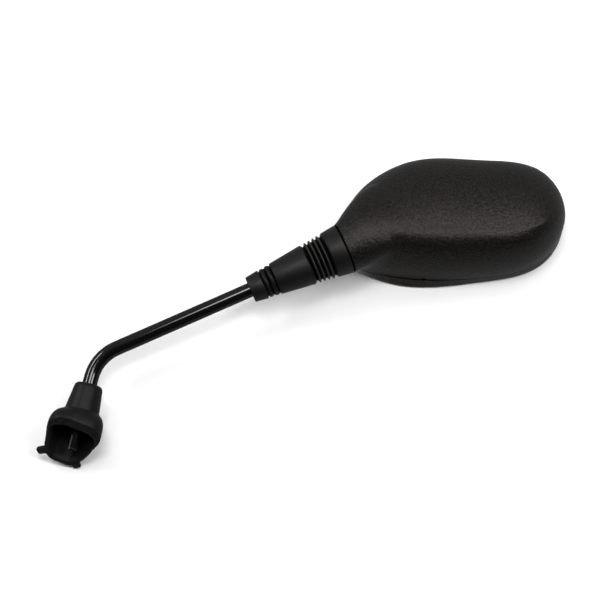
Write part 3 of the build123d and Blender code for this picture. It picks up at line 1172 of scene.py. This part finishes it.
@dataclass
class Studio:
    """White table, soft lamps and the camera."""

    eye: Triple = (0.22156, -0.76011, -0.08086)
    look: Triple = (-0.12137, 0.96212, 0.24411)
    up: Triple = (-0.19780, -0.26444, 0.94390)
    right: Triple = (0.97270, 0.06628, 0.22240)
    lens: float = 70.0
    sensor: float = 36.0
    nearest: float = 0.01
    table_normal: Triple = (0.06798, -0.99769, 0.0)
    table_up: Triple = (-0.22189, -0.01512, 0.97496)
    table_level: float = -20.4
    table_size: float = 6.0
    table_colour: str = "#fafafa"
    table_mirrored: float = 0.5
    middle: Triple = (0.14, 0.0, 0.11)
    room_reach: Pair = (-0.35, 0.75)
    room_light: Pair = (0.05, 0.5)
    lamps: tuple[Lamp, ...] = (
        Lamp("overhead_softbox", (-0.1, 0.2, 1.08), (0.42, 0.3), 5.2),
        Lamp("right_softbox", (0.6, 0.06, 0.95), (0.36, 0.36), 6.0),
        Lamp("left_strip", (-0.92, 0.42, 0.62), (0.12, 0.5), 5.0),
        Lamp("table_fill", (0.05, 0.78, 1.0), (1.5, 0.5), 6.0, mirrored=False),
    )

    def camera(self) -> None:
        """Set the camera at the photograph's viewing angle."""
        data = bpy.data.cameras.new("camera")
        data.lens = self.lens
        data.sensor_width = self.sensor
        data.clip_start = self.nearest
        camera = bpy.data.objects.new("camera", data)
        bpy.context.scene.collection.objects.link(camera)
        turn = Matrix((self.right, self.up, [-value for value in self.look])).transposed()
        camera.matrix_world = Matrix.Translation(self.eye) @ turn.to_4x4()
        bpy.context.scene.camera = camera

    def table(self) -> bpy.types.Object:
        """Lay the white table under the head's rim.

        Returns:
            The table top.
        """
        normal = Vector(self.table_normal)
        place = Vector(self.middle)
        place += normal * (mm(self.table_level) - normal.dot(place))
        deselect()
        bpy.ops.mesh.primitive_plane_add(
            size=self.table_size, location=place, rotation=normal.to_track_quat("Z", "Y").to_euler()
        )
        table = bpy.context.active_object
        table.name = table.data.name = "table_top"
        bpy.ops.object.transform_apply(location=True, rotation=True, scale=True)
        table.data.materials.append(self.table_finish())
        return table

    def table_finish(self) -> bpy.types.Material:
        """White laminate that is white from above, a plain grey in mirrors and nothing from below.

        Returns:
            The table's material.
        """
        material = bpy.data.materials.new("white_laminate")
        material.use_nodes = True
        tree = material.node_tree
        tree.nodes.clear()
        top = add_node(tree, "ShaderNodeBsdfDiffuse", {"Color": linear(self.table_colour)})
        mirrored = add_node(tree, "ShaderNodeEmission", {"Strength": self.table_mirrored})
        path = add_node(tree, "ShaderNodeLightPath")
        laminate = add_node(
            tree,
            "ShaderNodeMixShader",
            {0: path.outputs["Is Glossy Ray"], 1: top.outputs[0], 2: mirrored.outputs[0]},
        )
        clear = add_node(tree, "ShaderNodeBsdfTransparent")
        side = add_node(tree, "ShaderNodeNewGeometry")
        surface = add_node(
            tree,
            "ShaderNodeMixShader",
            {0: side.outputs["Backfacing"], 1: laminate.outputs[0], 2: clear.outputs[0]},
        )
        add_node(tree, "ShaderNodeOutputMaterial", {"Surface": surface.outputs[0]})
        return material

    def hang(self, lamp: Lamp) -> None:
        """Hang a lamp that points at the middle of the object.

        Args:
            lamp: name, place, size and power of the lamp, and whether glossy surfaces show it.
        """
        data = bpy.data.lights.new(lamp.name, "AREA")
        data.shape = "RECTANGLE"
        data.size, data.size_y = lamp.size
        data.energy = lamp.power
        light = bpy.data.objects.new(lamp.name, data)
        light.visible_glossy = lamp.mirrored
        bpy.context.scene.collection.objects.link(light)
        offset = (
            Vector(self.right) * lamp.place[0]
            + Vector(self.table_up) * lamp.place[1]
            + Vector(self.table_normal) * lamp.place[2]
        )
        light.location = Vector(self.middle) + offset
        light.rotation_euler = (-offset).to_track_quat("-Z", "Y").to_euler()

    def world(self) -> None:
        """Surround the table with a room that is pale above the object and dark below it."""
        world = bpy.data.worlds.new("surroundings")
        bpy.context.scene.world = world
        world.use_nodes = True
        tree = world.node_tree
        tree.nodes.clear()
        way = add_node(tree, "ShaderNodeTexCoord").outputs["Generated"]
        rise = add_node(
            tree, "ShaderNodeVectorMath", {0: way, 1: self.table_up}, operation="DOT_PRODUCT"
        )
        level = remap(
            tree,
            rise.outputs["Value"],
            self.room_reach,
            self.room_light,
            interpolation_type="SMOOTHSTEP",
        )
        inputs = {"Color": linear("#ffffff"), "Strength": level}
        room = add_node(tree, "ShaderNodeBackground", inputs)
        add_node(tree, "ShaderNodeOutputWorld", {"Surface": room.outputs[0]})

    def build(self) -> list[bpy.types.Object]:
        """Set up table, lamps, surroundings and camera.

        Returns:
            The pieces of the stage, which are the table top alone.
        """
        self.camera()
        self.world()
        for lamp in self.lamps:
            self.hang(lamp)
        return [self.table()]


def report(pieces: Iterable[bpy.types.Object]) -> None:
    """Log the name and face count of each piece."""
    for piece in pieces:
        LOG.info("%s: %d faces", piece.name, len(piece.data.polygons))


def main() -> None:
    """Build the mirror's pieces in order and set the studio."""
    logging.basicConfig(level=logging.INFO, format="%(message)s")
    bpy.context.scene.view_settings.view_transform = "Standard"
    stations = Stations()
    for assembly in (StemSet(stations), Gaiter(stations), Boot(), Head(), Studio()):
        report(assembly.build())
    deselect()


if __name__ == "__main__":
    main()
